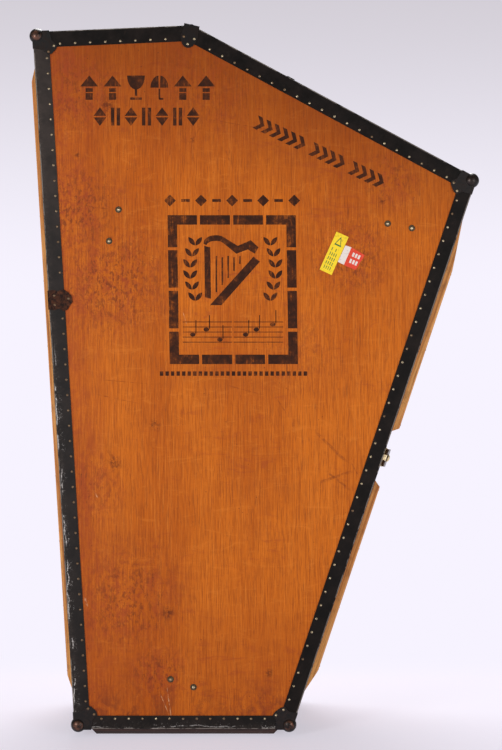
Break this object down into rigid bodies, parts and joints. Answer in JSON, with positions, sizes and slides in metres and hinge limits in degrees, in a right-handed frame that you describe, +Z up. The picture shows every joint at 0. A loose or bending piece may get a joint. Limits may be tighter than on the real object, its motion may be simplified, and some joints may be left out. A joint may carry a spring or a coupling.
{
  "type": "harp travelling trunk",
  "caption": "Upright five-sided wooden travelling trunk for a harp, with a hinged lid, bound edges, capped corners, slats, hasp lock, draw bolt and drop handles.",
  "frame": {"origin": "on the floor, under the middle of the base's width and half way through the depth", "axes": "+Z up, the lid faces -Y, +X to the right seen from the front"},
  "size_m": [1.2617, 0.584, 1.9974],
  "materials": {
    "oak_panel": "clear varnish, aged",
    "slat_wood": "clear varnish, worn",
    "dark_wood": "stained, scuffed",
    "pale_wood": "bare",
    "fibre": "vulcanised fibre, scuffed",
    "nail_brass": "dulled",
    "cap_steel": "japanned steel, worn",
    "rusty_steel": "rusted",
    "black_steel": "black japan",
    "hinge_steel": "dulled",
    "lock_brass": "polished by use",
    "lock_plate": "dark bronze",
    "bolt_steel": "domed",
    "felt": "wool felt",
    "pad_cloth": "baize"
  },
  "bodies": {
    "case": {"case_panel": "oak_panel", "case_wall_base": "oak_panel", "case_wall_right": "oak_panel", "case_wall_slope": "oak_panel", "case_wall_top": "oak_panel", "case_wall_left": "oak_panel", "case_bindings": "fibre", "case_rim_bindings": "fibre", "case_lip": "pale_wood", "case_blocks": "pale_wood", "case_caps": "cap_steel", "case_slats": "slat_wood", "case_nails": "nail_brass", "case_rivets": "nail_brass", "case_lining": "felt", "case_pads": "pad_cloth", "case_runners": "dark_wood", "case_hinge_leaves": "hinge_steel", "hinge_pins": "hinge_steel", "lock_body": "lock_plate", "draw_base": "black_steel", "handle_plates": "black_steel"},
    "lid": {"lid_panel": "oak_panel", "lid_wall_base": "oak_panel", "lid_wall_right": "oak_panel", "lid_wall_slope": "oak_panel", "lid_wall_top": "oak_panel", "lid_wall_left": "oak_panel", "lid_binding_base": "fibre", "lid_binding_right": "fibre", "lid_binding_slope": "fibre", "lid_binding_top": "fibre", "lid_binding_left": "fibre", "lid_rim_bindings": "fibre", "lid_cap_base_left": "cap_steel", "lid_cap_base_right": "cap_steel", "lid_cap_right_top": "cap_steel", "lid_cap_left_top": "cap_steel", "lid_peak_clamp": "cap_steel", "lid_slat_left": "slat_wood", "lid_slat_right_upper": "slat_wood", "lid_slat_right_lower": "slat_wood", "lid_nails": "nail_brass", "lid_rivets": "nail_brass", "repair_strap": "rusty_steel", "lid_runner": "dark_wood", "lid_lining": "felt", "lid_blocks": "pale_wood", "lid_pads": "pad_cloth", "block_bolts": "bolt_steel", "block_washers": "black_steel", "draw_strike": "black_steel", "lid_hinge_leaves": "hinge_steel", "hasp_plate": "lock_plate"},
    "hasp": {"hasp": "lock_plate"},
    "lock_button": {"lock_button": "lock_brass"},
    "draw_lever": {"draw_lever": "black_steel"},
    "draw_hook": {"draw_hook": "black_steel"},
    "handle_left": {"handle_bail_left": "black_steel"},
    "handle_right": {"handle_bail_right": "black_steel"}
  },
  "joints": [
    {"name": "lid_hinge", "type": "hinge", "parent": "case", "child": "lid", "pos_m": [-0.36967, -0.16, 1.02064], "axis": [0.0601, 0, -0.9982], "range_deg": [0, 100]},
    {"name": "hasp_hinge", "type": "hinge", "parent": "lid", "child": "hasp", "pos_m": [0.57478, -0.174, 0.77623], "axis": [-0.3182, 0, -0.948], "range_deg": [-10, 145]},
    {"name": "lock_slide", "type": "slide", "parent": "case", "child": "lock_button", "axis": [0.3182, 0, 0.948], "range_m": [0, 0.008]},
    {"name": "draw_lever_pivot", "type": "hinge", "parent": "case", "child": "draw_lever", "pos_m": [0.29732, -0.146, 1.85651], "axis": [0.8803, 0, -0.4744], "range_deg": [-16, 100]},
    {"name": "draw_hook_pivot", "type": "hinge", "parent": "draw_lever", "child": "draw_hook", "pos_m": [0.29863, -0.13639, 1.85894], "axis": [0.8803, 0, -0.4744], "range_deg": [-100, 16]},
    {"name": "handle_left_swing", "type": "hinge", "parent": "case", "child": "handle_left", "pos_m": [-0.37984, 0.068, 1.07322], "axis": [0, 1, 0], "range_deg": [-10, 75]},
    {"name": "handle_right_swing", "type": "hinge", "parent": "case", "child": "handle_right", "pos_m": [0.67122, 0.068, 1.06986], "axis": [0, -1, 0], "range_deg": [-25, 75]}
  ],
  "couplings": [
    {"joint": "draw_hook_pivot", "follows": "draw_lever_pivot", "ratio": -1}
  ]
}
